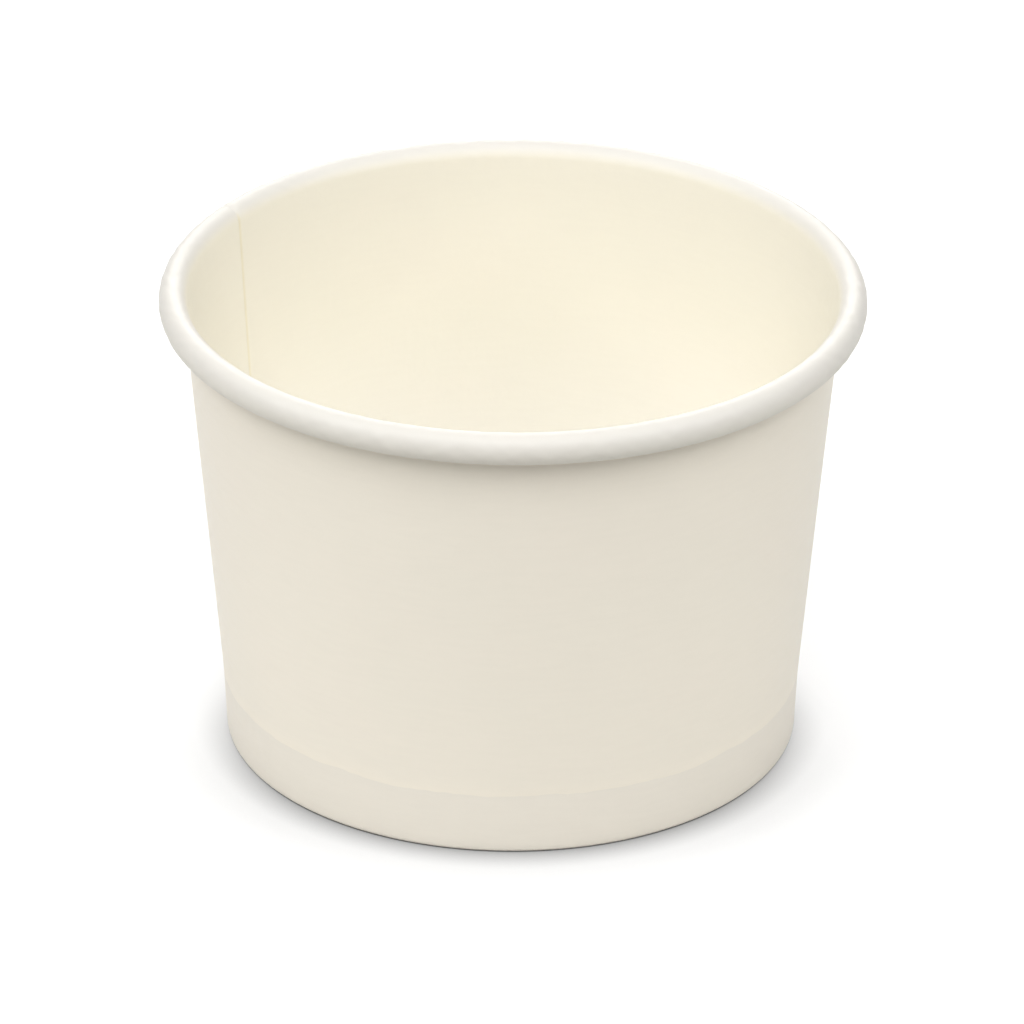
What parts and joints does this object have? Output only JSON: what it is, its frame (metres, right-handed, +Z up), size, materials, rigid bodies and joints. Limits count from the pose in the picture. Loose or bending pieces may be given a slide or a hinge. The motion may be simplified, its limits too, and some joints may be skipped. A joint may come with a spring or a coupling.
{
  "type": "paper soup container",
  "caption": "Round tapered paperboard food container with a rolled rim, a lapped side seam and a drawn bottom held in a folded foot.",
  "frame": {"origin": "centre of the ring that the container stands on, on the table plane", "axes": "+Z up along the container's axis; the lap seam is 149 degrees round from +X"},
  "size_m": [0.09, 0.09, 0.062],
  "materials": {
    "wall_board": "satin coated white paperboard",
    "bottom_board": "satin coated white paperboard"
  },
  "bodies": {
    "root": {"side_wall": "wall_board", "bottom_disc": "bottom_board"}
  },
  "joints": []
}
